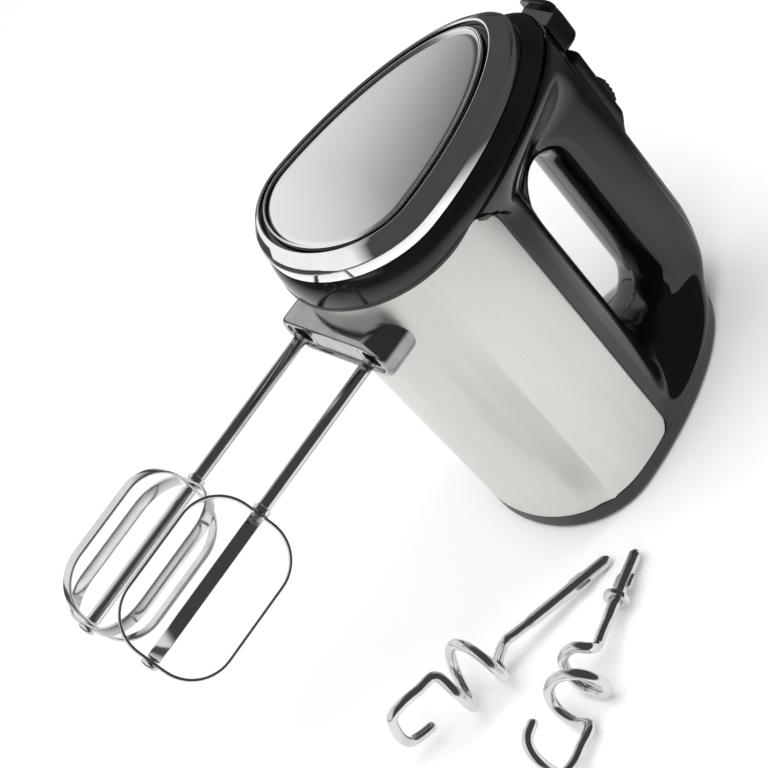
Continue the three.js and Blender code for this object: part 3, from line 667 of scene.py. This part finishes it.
# %% [markdown]
# The grid for that surface is a frame: its inner border is the outline of the hole, its outer border is the
# steel's edge, the heel, the seam of the top cover and the band. Steps from the inner border to the outer one
# start very small, because the wall of the opening stands almost upright there.

# %% Housing halves
def walk(points, count):
    """Points spaced evenly by length along a polyline."""
    points = np.asarray(points, float)
    length = np.concatenate([[0], np.cumsum(np.linalg.norm(np.diff(points, axis=0), axis=1))])
    even = np.linspace(0, length[-1], count)
    return np.stack([np.interp(even, length, points[:, k]) for k in (0, 1)], 1)


def quarter(cu, cz, r, start, end, steps=12):
    t = np.radians(np.linspace(start, end, steps))
    return np.stack([cu + r * np.sin(t), cz + r * np.cos(t)], 1)


def frame_grid(inward_steps=64, long_side=84, short_side=50):
    """Inner and outer borders side by side, each walked in four parts; s^2.6 spaces the steps between them."""
    z0, z1, top, floor, r = (OPENING[key] for key in ("z0", "z1", "u1", "u0", "top"))
    front, rear = OPENING["front"], OPENING["rear"]
    corners = [quarter(floor + front, z1 - front, front, -90, 0), quarter(top - r, z1 - r, r, 0, 90),
               quarter(top - r, z0 + r, r, 90, 180), quarter(floor + rear, z0 + rear, rear, 180, 270)]
    inner = [np.vstack([corners[3][6:], corners[0][:7]]), np.vstack([corners[0][6:], corners[1][:7]]),
             np.vstack([corners[1][6:], corners[2][:7]]), np.vstack([corners[2][6:], corners[3][:7]])]
    rear, front = REAR_Z + GAP, FRONT_Z - GAP
    edge_z = np.linspace(rear, front, 240)
    top_z = np.linspace(front, rear, 160)
    cover = np.minimum(COVER_U - GAP / 2, loop_top(top_z) - 0.02)
    low = steel_edge(edge_z, GAP)
    outer = [np.stack([low, edge_z], 1),
             np.array([[low[-1], front], [cover[0], front]]),
             np.stack([cover, top_z], 1),
             np.array([[cover[-1], rear], [low[0], rear]])]
    counts = [long_side, short_side, long_side, short_side]
    inside = np.vstack([walk(side, n)[:-1] for side, n in zip(inner, counts)])
    outside = np.vstack([walk(side, n)[:-1] for side, n in zip(outer, counts)])
    s = np.linspace(0, 1, inward_steps)[:, None, None] ** 2.6
    return mix(inside[None], outside[None], s)


def housing_side(name, side):
    uz = frame_grid()
    u, z = uz[..., 0], uz[..., 1]
    half = np.maximum(housing_half(u, z), GAP / 2)
    points = place(u, side * half, z)
    faces = grid_faces(*points.shape[:2], wrap_cols=True)
    obj = finish_mesh(name, points, (faces if side > 0 else faces[:, ::-1]).tolist(), smooth_angle=60,
                      recalculate=False)
    wall = obj.modifiers.new("wall", "SOLIDIFY")
    wall.thickness, wall.offset = 1.2 * MM, -1
    return obj


for label, side in (("left", 1), ("right", -1)):
    fit(housing_side(f"{label}_shell", side), "mixer_body", "gloss_black", f"{label}_housing")

# %% [markdown]
# The top cover closes the handle above a fine seam. Across the handle, u falls from the top line with the
# square of w, and the same half-width formula gives y, so the cover and the halves below share one skin.

# %% Top cover, control pod and their openings
COVER_START = 22.95
BUTTON = dict(half=8.8, back=141, front=159.8, low=150.4, top=162, nose=164.5, nose_low=156.3)
POD = dict(half=11.5, back=93, front=138)
SLIDER = dict(half=8, back=105, front=120, travel=14, top=158.4)


def cover_points(inset=0.0):
    """u = top - (top - seam) w^2 and y = sign(w) H(u, z), with w from -1 to 1."""
    z = np.linspace(COVER_START, FRONT_Z - GAP, 90)[:, None]
    w = np.linspace(-1, 1, 41)[None]
    top, seam = loop_top(z) - 0.05, COVER_U + GAP / 2
    u = top - (top - seam) * w * w
    y = np.sign(w) * np.maximum(loop_half(u, z) - inset, 0.05) * (np.abs(w) > 1e-6)
    return place(u - inset, y, z)


def closed_cover():
    """The outer skin and, 2 mm below it, an inner one, joined along their borders."""
    outer, inner = cover_points(), cover_points(2.0)
    return closed_loft("handle_cap", np.concatenate([outer, inner[:, ::-1]], 1), smooth_angle=50)


def block(name, back, front, half, low, top, edge=1.2, corner=7.0, count=48, rows=36):
    """A bar along z: u and y follow a super-ellipse of high power between a foot and a top, functions of z.

    Within one edge radius of an end, height and width shrink by edge * (1 - sqrt(1 - (1 - distance)^2))."""
    ease = (1 - np.cos(np.linspace(0, np.pi, rows))) / 2
    z = back + (front - back) * ease
    near = np.clip(np.minimum(z - back, front - z) / edge, 0, 1)
    shrink = edge * (1 - np.sqrt(1 - (1 - near) ** 2))
    t = np.linspace(0, np.pi, count)[None]
    foot = low(z)[:, None]
    height = (top(z) - shrink)[:, None] - foot
    u = foot + height * np.abs(np.sin(t)) ** (2 / corner)
    y = (half - shrink)[:, None] * power(np.cos(t), 2 / corner)
    return closed_loft(name, place(u, y, z[:, None]), smooth_angle=35)


def box(u0, u1, y0, y1, z0, z1):
    """A box by its limits, used only to carve."""
    u, y, z = np.meshgrid([u0, u1], [y0, y1], [z0, z1], indexing="ij")
    points = place(u, y, z).reshape(-1, 3)
    faces = [[0, 1, 3, 2], [4, 6, 7, 5], [0, 4, 5, 1], [2, 3, 7, 6], [0, 2, 6, 4], [1, 5, 7, 3]]
    return finish_mesh("cutter", points, faces)


hole_half, hole_back, hole_front = BUTTON["half"] + 0.4, BUTTON["back"] - 0.4, BUTTON["front"] + 0.4
cap = carve(closed_cover(), box(140, 175, -hole_half, hole_half, hole_back, hole_front))


def level(height):
    return lambda z: height + 0 * z


def pod_top(z):
    """A ramp from the handle up to the flat of the pod: a smooth rise over nine millimetres."""
    return 149.8 + (POD_U - 149.8) * smooth((z - POD["back"]) / 9)


pod = block("control_pod", POD["back"], POD["front"], POD["half"], level(147.5), pod_top, 1.0, 5, 64, 60)
slot_back, slot_front = SLIDER["back"] + 2.6, SLIDER["front"] + SLIDER["travel"] - 2.6
pod = carve(pod, box(POD_U - 3, POD_U + 3, -3.4, 3.4, slot_back, slot_front))
fit(cap, "mixer_body", "gloss_black", "handle_top_cover")
fit(pod, "mixer_body", "gloss_black")

# %% [markdown]
# The button and the slider are what the thumb finds without looking, so each has its own shape: the button is
# a smooth block whose nose reaches forward over the band, and the slider is low with raised ribs across it.

# %% Eject button and speed slider
def button_top(z):
    """Level at first, then an arc down to the nose: top - 2.6 d^2, with d from 0 to 1."""
    d = np.clip((z - 152) / (BUTTON["nose"] - 152), 0, 1)
    return BUTTON["top"] - 2.6 * d ** 2


def button_low(z):
    """The foot steps up where the key reaches forward over the band."""
    return mix(BUTTON["low"], BUTTON["nose_low"], smooth((z - BUTTON["front"] + 1.2) / 1.2))


def slider_top(z):
    """A low hump with four rounded ribs across it."""
    d = (z - SLIDER["back"]) / (SLIDER["front"] - SLIDER["back"])
    ribs = np.clip(np.sin((z - SLIDER["back"] - 2.4) * 2 * np.pi / 2.6), 0, 1)
    ribs = ribs * (z > SLIDER["back"] + 2.4) * (z < SLIDER["front"] - 2.2)
    rise = SLIDER["top"] - POD_U - GAP - 0.4
    return POD_U + GAP + rise * np.sin(np.pi * np.clip(d, 0.02, 0.98)) ** 0.35 + 0.55 * ribs


button_cap = block("eject_key", BUTTON["back"], BUTTON["nose"], BUTTON["half"], button_low, button_top,
                   2.6, 3.6, 80, 110)
button_stem = block("button_stem", 141, 150, 6, level(137.8), level(151), 0.4, 12, 24, 10)
fit(merge("eject_key_and_stem", button_cap, button_stem), "ejector", "gloss_black", "eject_button")
slider_cap = block("slider_cap", SLIDER["back"], SLIDER["front"], SLIDER["half"], level(POD_U + GAP),
                   slider_top, 0.9, 6, 40, 90)
slider_neck = block("slider_neck", SLIDER["back"] + 3, SLIDER["front"] - 3, 3, level(150.5),
                    level(POD_U + 0.4), 0.3, 12, 24, 8)
fit(merge("ribbed_slider", slider_cap, slider_neck), "speed_slider", "gloss_black", "speed_slider")

# %% [markdown]
# The heel cover is the foot that the mixer stands on. Its rim is turned over by three millimetres so it never
# scratches a worktop. Air for the motor comes in through seven slots, and four screws sit in deep wells.

# %% Heel cover
VENTS = np.arange(-24, 25, 8)
SCREWS = [(20, 25), (20, -25), (104, 14), (104, -14)]
CORD_INLET = (84, 0)


def cylinder(axis, centre, radius, low, high, sides=32):
    """A turned cutter: a circle carried along z or along u, centred on (u, y) or on (y, z)."""
    t = 2 * np.pi * np.arange(sides) / sides
    ring = centre[0] + radius * np.cos(t), centre[1] + radius * np.sin(t)
    rows = [place(*ring, h) if axis == "z" else place(h, *ring) for h in (low, high)]
    return closed_loft("cutter", np.array(rows))


def heel_points():
    """Outer rows with a rounded foot, then inner rows down to the floor of the tray."""
    t = np.linspace(0, np.pi / 2, 9)
    outer = [egg_row(inset_egg(HEEL_EGG, 3 * (1 - np.sin(a))), 3 * (1 - np.cos(a)), ROUND) for a in t]
    outer += [egg_row(HEEL_EGG, z, ROUND) for z in (4.5, 6, 7.5, 8.7)]
    outer += [egg_row(inset_egg(HEEL_EGG, 0.4), REAR_Z, ROUND)]
    inner = [egg_row(inset_egg(HEEL_EGG, WALL + 0.5), z, ROUND) for z in (REAR_Z, 3)]
    return np.array(outer + inner)


heel = closed_loft("heel_tray", heel_points(), smooth_angle=35)
cutters = [box(28, 54, y - 1.5, y + 1.5, -1, 5) for y in VENTS]
cutters += [cylinder("z", centre, 3.6, -1, 4) for centre in SCREWS]
cutters += [cylinder("z", CORD_INLET, 6.3, -1, 5)]
fit(carve(heel, merge("cutters", *cutters)), "mixer_body", "satin_black", "heel_cover")

# %% [markdown]
# The socket collar is an oval boss under the nose. Its face is dished by a millimetre inside a narrow lip, and
# the two spindles come out through it.

# %% Socket collar
def stadium(radius, count=96):
    """Two half circles about y = +-22, joined by straight runs: equal steps of angle plus the side offset."""
    t = 2 * np.pi * (np.arange(count) + 0.5) / count
    return SOCKETS * np.sign(np.cos(t)) + radius * np.cos(t), BEATER_Z + radius * np.sin(t)


def collar_points():
    rows = [(COLLAR_R, 14), (COLLAR_R, -1.4)]
    t = np.linspace(0, np.pi / 2, 8)
    rows += [(COLLAR_R - 2.2 + 2.2 * math.cos(a), -1.4 - 2.2 * math.sin(a)) for a in t[1:]]
    rows += [(COLLAR_R - inset, u) for inset, u in ((2.9, -3.6), (3.3, -3.45), (3.6, -2.7), (3.9, -2.4))]
    return np.array([place(u, *stadium(r)) for r, u in rows])


collar = closed_loft("oval_collar", collar_points(), smooth_angle=35)
holes = merge("cutters", *[cylinder("u", (y, BEATER_Z), 7.1, -20, 30, 48) for y in (SOCKETS, -SOCKETS)])
fit(carve(collar, holes), "mixer_body", "smoked_metal", "socket_collar")

# %% [markdown]
# Each beater is a rod with two loops of strip, one inside the other and a quarter turn apart. The strip's
# corners are rolled, so its edges show as bright threads. The loop is a section carried round a rounded
# rectangle: at each place the section's width lies across the loop's plane, and its thickness points inwards.

# %% Beaters
STRIP = dict(width=5.5, thick=1.2, corner=18)
ROD = dict(r=2.75, neck=1.95, head=3.7)
PHASES = {"left": -51, "right": 6}
NEST = STRIP["thick"] + GAP


def lathe(profile, sides=40):
    """A profile of (radius, u) turned about the u axis through y = 0, z = 0; returned as rows of points."""
    t = 2 * np.pi * np.arange(sides) / sides
    p = np.asarray(profile, float)
    return np.stack(np.broadcast_arrays(p[:, 1:2], p[:, :1] * np.cos(t), p[:, :1] * np.sin(t)), -1)


def across(local, side, phase):
    """Turns (u, across, through) about the rod by the phase and moves it to the socket."""
    a = math.radians(phase)
    y = local[..., 1] * math.cos(a) - local[..., 2] * math.sin(a)
    z = local[..., 1] * math.sin(a) + local[..., 2] * math.cos(a)
    return place(local[..., 0], side * SOCKETS + y, BEATER_Z + z)


def rounded_path(half_w, half_h, r, arc_steps=14, straight_steps=8):
    """Points and outward normals round a rounded rectangle, from four arcs joined by straights."""
    points, normals = [], []
    for k, (sx, sy) in enumerate([(1, 1), (-1, 1), (-1, -1), (1, -1)]):
        t = np.radians(90 * k + np.linspace(0, 90, arc_steps))
        n = np.stack([np.cos(t), np.sin(t)], 1)
        points.append([sx * (half_w - r), sy * (half_h - r)] + r * n)
        normals.append(n)
    points, normals = np.vstack(points), np.vstack(normals)
    between = np.linspace(0, 1, straight_steps, endpoint=False)[1:]
    full_p, full_n = [], []
    for k in range(4):
        part = slice(k * arc_steps, (k + 1) * arc_steps)
        end, start = points[part][-1], points[((k + 1) * arc_steps) % len(points)]
        full_p += [points[part], mix(end, start, between[:, None])]
        full_n += [normals[part], np.repeat(normals[part][-1:], len(between), 0)]
    return np.vstack(full_p), np.vstack(full_n)


def strip_loop(name, side, phase, top, end):
    """Section corners rounded by 0.45 mm; section x runs through the plane, section y inwards."""
    path, normal = rounded_path(CAGE_HALF, (top - end) / 2, STRIP["corner"])
    w, t = STRIP["width"] / 2, STRIP["thick"]
    section = soften([(-w, 0), (w, 0), (w, -t), (-w, -t)], 0.45, 4)
    depth = section[:, 1][None, :, None]
    ring = path[:, None] + normal[:, None] * depth
    through = np.broadcast_to(section[:, 0], ring.shape[:2])
    local = np.stack([(top + end) / 2 + ring[..., 1], ring[..., 0], through], -1)
    return ring_sweep(name, across(local, side, phase), smooth_angle=50)


def fins(name, side, phase, low, high, half=4.2, thick=0.7):
    """Two flat wings on the rod that lock in the spindle: a rounded section carried along u."""
    ease = np.array([0, 0.04, 0.12, 0.88, 0.96, 1])
    shrink = np.array([0.5, 0.15, 0, 0, 0.15, 0.5])
    section = soften([(-half, -thick), (half, -thick), (half, thick), (-half, thick)], 0.4, 4)
    u = low + (high - low) * ease
    scaled = section[None] - np.sign(section)[None] * shrink[:, None, None]
    local = np.stack([np.broadcast_to(u[:, None], scaled.shape[:2]), scaled[..., 0], scaled[..., 1]], -1)
    return closed_loft(name, across(local, side, phase))


for label, side in (("left", 1), ("right", -1)):
    phase = PHASES[label]
    top, end = CAGE_TOP + STRIP["thick"] / 2, CAGE_END - STRIP["thick"] / 2
    r, neck, head = ROD["r"], ROD["neck"], ROD["head"]
    profile = [(0.01, 26), (1.2, 26), (1.9, 25.6), (r, 23.8), (r, top + 3.2), (r + 0.3, top + 2.8),
               (head, top + 2.3), (head, top + 0.4), (head - 0.2, top + GAP), (neck, top + GAP),
               (neck, top - 2 * NEST),
               (r, top - 2 * NEST - 0.2), (r, end + 2 * NEST + 0.2), (neck, end + 2 * NEST), (neck, end - GAP),
               (head - 0.2, end - GAP), (head, end - 0.5), (head * 0.95, end - 1.1), (head * 0.75, end - 1.6),
               (head * 0.4, end - 1.9), (0.01, end - 2)]
    rod = closed_loft(f"{label}_rod", across(lathe(profile), side, phase))
    rod = merge(f"{label}_beater_shaft", rod, fins(f"{label}_fins", side, phase, 12, 19))
    fit(rod, f"{label}_beater", "wire_metal", f"{label}_beater_rod")
    for which, turned, nest in (("outer", 0, 0), ("inner", 90, NEST)):
        strip = strip_loop(f"{label}_{which}_strip", side, phase + turned, top - nest, end + nest)
        fit(strip, f"{label}_beater", "wire_metal", f"{label}_beater_{which}_loop")

# %% [markdown]
# A dough hook is one length of wire: a straight shank, one and a half turns of helix, then a squared end that
# runs out along the axis, across it and back. A smooth curve goes through a few points of that path, and a
# circle is carried along it. To keep the circle from twisting, its first direction is moved from point to
# point by the smallest turn that follows the path, which is called parallel transport.

# %% Dough hooks
HOOKS = {
    "left": dict(x=58.3, y=53.1, z=2.45, heading=-11, tilt=12, shank=58, radius=12.3, pitch=18, start=-13,
                 turn=540, out=20, across=1.2, back=11.5),
    "right": dict(x=51.4, y=65.3, z=4.15, heading=21, tilt=8, shank=51, radius=10.8, pitch=16, start=158,
                  turn=585, out=22, across=1.15, back=9),
}
END_SHAPE = [(0.45, 1), (0.85, 0.95), (1.16, 0.62), (1.22, 0), (1.16, -0.62), (0.98, -0.95)]


def hook_path(hook):
    """Shank points, helix points every 45 degrees, end points; the angle is counted from below."""
    def around(a, r, degrees):
        angle = math.radians(degrees)
        return a, r * math.sin(angle), -r * math.cos(angle)

    shank, last_turn = hook["shank"], hook["start"] + hook["turn"]
    points = [(a, 0, 0) for a in (0, shank / 2, shank - 8, shank - 2)]
    for turned in range(0, hook["turn"] + 1, 45):
        r = hook["radius"] * min(0.62 + 0.38 * turned / 67.5, 1)
        points.append(around(shank + 4 + hook["pitch"] * turned / 360, r, hook["start"] + turned))
    last = shank + 4 + hook["pitch"] * hook["turn"] / 360
    for along, share in END_SHAPE:
        r = hook["radius"] * mix(1, hook["across"], min(abs(1 - share) * 2, 1)) * share
        points.append(around(last + hook["out"] * along, r, last_turn))
    points.append(around(last + hook["out"] - hook["back"], -hook["radius"] * hook["across"], last_turn))
    return np.array(points, float)


def through_points(points, per_span=12):
    """A curve through every point: a cubic whose slope at each is half the step between its neighbours."""
    p = np.vstack([2 * points[0] - points[1], points, 2 * points[-1] - points[-2]])
    t = np.linspace(0, 1, per_span, endpoint=False)[None, :, None]
    a, b, c, d = (p[k:len(p) - 3 + k, None] for k in range(4))
    square, cube = 2 * a - 5 * b + 4 * c - d, 3 * b - a - 3 * c + d
    curve = 0.5 * (2 * b + (c - a) * t + square * t ** 2 + cube * t ** 3)
    return np.vstack([curve.reshape(-1, 3), points[-1:]])


def transported_frames(path):
    """Two directions across the path that turn as little as possible along it."""
    tangent = np.gradient(path, axis=0)
    tangent /= np.linalg.norm(tangent, axis=1, keepdims=True)
    side = np.empty_like(path)
    side[0] = np.cross(tangent[0], [0, 0, 1])
    for k in range(1, len(path)):
        kept = side[k - 1] - tangent[k] * np.dot(side[k - 1], tangent[k])
        side[k] = kept / np.linalg.norm(kept)
    return side, np.cross(tangent, side)


def tube(path, radius, sides=28):
    """Circle points = path + r (cos t side + sin t up); the radius may change along the path."""
    side, up = transported_frames(path)
    t = 2 * np.pi * np.arange(sides) / sides
    r = np.asarray(radius)[:, None, None]
    c, s = np.cos(t)[None, :, None], np.sin(t)[None, :, None]
    return path[:, None] + r * (c * side[:, None] + s * up[:, None])


def lay_down(local, hook):
    """Tilts the far end up, turns by the heading and moves to the place, all in the model's x, y, z."""
    tilt, heading = math.radians(hook["tilt"]), math.radians(hook["heading"])
    x = local[..., 0] * math.cos(tilt) - local[..., 2] * math.sin(tilt)
    z = local[..., 0] * math.sin(tilt) + local[..., 2] * math.cos(tilt)
    out = np.stack([hook["x"] + x * math.cos(heading) - local[..., 1] * math.sin(heading),
                    hook["y"] + x * math.sin(heading) + local[..., 1] * math.cos(heading), hook["z"] + z], -1)
    return out * MM


def wire_radius(path, hook):
    """Thicker along the shank, with a tapered tip and a rounded end: arc length decides."""
    s = np.concatenate([[0], np.cumsum(np.linalg.norm(np.diff(path, axis=0), axis=1))])
    shank = mix(2.75, 2.3, smooth((s - hook["shank"] + 16) / 3))
    tip = 1 - 0.45 * np.clip(1 - s / 2.5, 0, 1) ** 1.5
    end = np.sqrt(np.clip(1 - np.clip(1 - (s[-1] - s) / 2.2, 0, 1) ** 2, 0.02, 1))
    return shank * tip * end


for label, hook in HOOKS.items():
    path = through_points(hook_path(hook))
    near_start = np.array([[0.0, 0, 0], [0.7, 0, 0], [1.5, 0, 0], [2.6, 0, 0]])
    last_steps = path[-1] + (path[-1] - path[-2])[None] * np.linspace(-1, 0, 7)[:, None]
    path = np.vstack([near_start, path[1:-1], last_steps[1:]])
    wire = closed_loft(f"{label}_wire", lay_down(tube(path, wire_radius(path, hook)), hook))
    wing = soften([(-4.2, -0.7), (4.2, -0.7), (4.2, 0.7), (-4.2, 0.7)], 0.35, 4)
    local = np.array([np.c_[np.full(len(wing), a), wing * k] for a, k in
                      [(12.5, 0.86), (12.9, 0.97), (13.6, 1), (18.4, 1), (19.1, 0.97), (19.5, 0.86)]])
    whole = merge(f"{label}_spiral_hook", wire, closed_loft("wing", lay_down(local, hook)))
    fit(whole, f"{label}_hook", "wire_metal", f"{label}_dough_hook")

disc = lathe(soften([(2.8, 24), (5.6, 24), (5.6, 26.5), (2.8, 26.5)], 0.5, 5), 48)
fit(ring_sweep("hook_stop_disc", lay_down(disc, HOOKS["right"])), "right_hook", "wire_metal",
    "right_hook_collar")

# %% [markdown]
# The studio is a pale floor under a sky that is bright on one side and dark on the other. Chrome and gloss
# show nothing but their surroundings, so that contrast is what models them. In mirrors the floor darkens
# away from the mixer, and the soft boxes light the scene without showing there.

# %% Floor
floor_mesh = finish_mesh("studio_floor", place(HEEL_CENTRE + 6000 * np.array([[-1, 1], [-1, 1]]),
                                               6000 * np.array([[-1, -1], [1, 1]]), -0.05),
                         [[0, 1, 3, 2]])
pale = Finish("pale_floor", Roughness=0.9, Specular_IOR_Level=0.1)
mirrored = pale.node("ShaderNodeLightPath", {}, {}, "Is Glossy Ray")
where = pale.node("ShaderNodeSeparateXYZ", {}, {"Vector": pale.position()}, "X")
distance = pale.node("ShaderNodeVectorMath", {"operation": "LENGTH"}, {0: pale.position()}, "Value")
far_off = distance.between(0.26, 0.6)
behind = (0 - where).between(0.1, 0.2)
shade = mirrored * (1 - (1 - far_off) * (1 - behind))
pale.feed("Base Color", pale.tint(shade, (0.94, 0.94, 0.94), (0.06, 0.06, 0.06)))
floor_mesh.data.materials.append(pale.material)
if floor_mesh.data.polygons[0].normal.z < 0:
    floor_mesh.data.flip_normals()

# %% Sky and soft boxes
world = bpy.data.worlds.new("studio_sky")
bpy.context.scene.world = world
world.use_nodes = True
world.node_tree.nodes.clear()
sky = Finish("sky", tree=world.node_tree)
direction = sky.node("ShaderNodeTexCoord", {}, {}, "Generated")
apart = sky.node("ShaderNodeVectorMath", {"operation": "DOT_PRODUCT"},
                 {0: direction, 1: (-0.68, 0.74, 0.0)}, "Value")
darkness = apart.between(-0.44, -0.14)
seen = sky.node("ShaderNodeLightPath", {}, {}, "Is Camera Ray")
colour = sky.tint(darkness * (1 - seen), (1.0, 1.0, 1.0), (0.07, 0.07, 0.073))
background = sky.node("ShaderNodeBackground", {}, {"Color": colour, "Strength": 1.0})
output = world.node_tree.nodes.new("ShaderNodeOutputWorld")
world.node_tree.links.new(background.socket, output.inputs["Surface"])


def soft_box(name, where, size, watts, target=(0, 0, 0.1)):
    """A square area light at a place in metres, turned to face a target."""
    lamp = bpy.data.lights.new(name, "AREA")
    lamp.shape, lamp.size, lamp.size_y, lamp.energy = "RECTANGLE", *size, watts
    obj = bpy.data.objects.new(name, lamp)
    obj.location = where
    obj.rotation_euler = (Vector(target) - Vector(where)).to_track_quat("-Z", "Y").to_euler()
    obj.visible_glossy = False
    bpy.context.scene.collection.objects.link(obj)


soft_box("overhead", (0.3, 0.2, 2.4), (2.2, 2.2), 46)
soft_box("left_box", (1.2, 1.4, 1.2), (1.0, 1.4), 14)
soft_box("rear_box", (-1.6, 0.6, 1.3), (0.6, 1.6), 10)

# %% Camera
# The lens is long, 117 mm on a 36 mm sensor, and the camera is rolled: the mixer leans across the frame.
camera = bpy.data.objects.new("camera", bpy.data.cameras.new("camera"))
camera.data.sensor_width, camera.data.lens = 36, 117.2
camera.data.clip_start, camera.data.clip_end = 0.05, 50
camera.location = Vector((290.7, 752.3, 731.7)) * MM
aim = Vector((-0.2292, -0.7506, -0.6197))
camera.rotation_mode = "QUATERNION"
camera.rotation_quaternion = aim.to_track_quat("-Z", "Y") @ Quaternion((0, 0, 1), math.radians(-43.4))
bpy.context.scene.collection.objects.link(camera)
bpy.context.scene.camera = camera
bpy.context.scene.view_settings.view_transform = "Standard"
